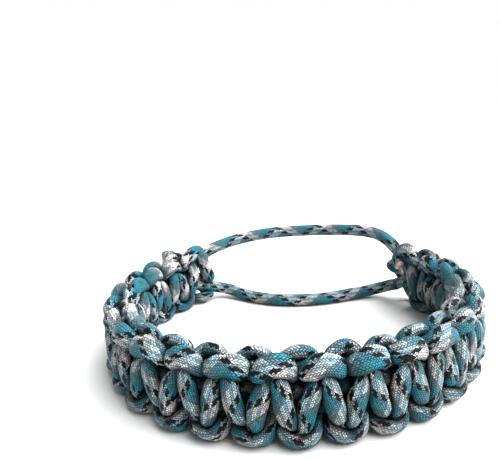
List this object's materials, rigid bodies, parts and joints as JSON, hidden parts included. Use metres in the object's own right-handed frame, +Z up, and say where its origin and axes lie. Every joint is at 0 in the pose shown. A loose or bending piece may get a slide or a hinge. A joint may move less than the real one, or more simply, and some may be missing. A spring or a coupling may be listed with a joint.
{
  "type": "woven cord bracelet",
  "caption": "Ring-shaped bracelet woven from braided nylon cord in a cobra stitch, worn round the wrist, with two bare cords bridging its open back.",
  "frame": {"origin": "centre of the ring seen from above, at the level of the lower edge that it stands on", "axes": "+Z up through the wrist opening, from the lower edge of the band to the upper; +X across the ring to the right seen from the front; +Y from the front of the band to the open back with the bare cords"},
  "size_m": [0.1028, 0.0925, 0.025],
  "materials": {
    "outer_strand": "braided nylon with a soft sheen",
    "inner_strand": "braided nylon with a soft sheen",
    "core": "braided nylon with a soft sheen",
    "bare_cord": "braided nylon with a soft sheen",
    "cut_end": "braided nylon with a soft sheen"
  },
  "bodies": {
    "root": {"outer_strand": "outer_strand", "inner_strand": "inner_strand", "upper_core": "core", "lower_core": "core", "upper_bare_cord": "bare_cord", "lower_bare_cord": "bare_cord", "standing_cut_end": "cut_end"}
  },
  "joints": []
}
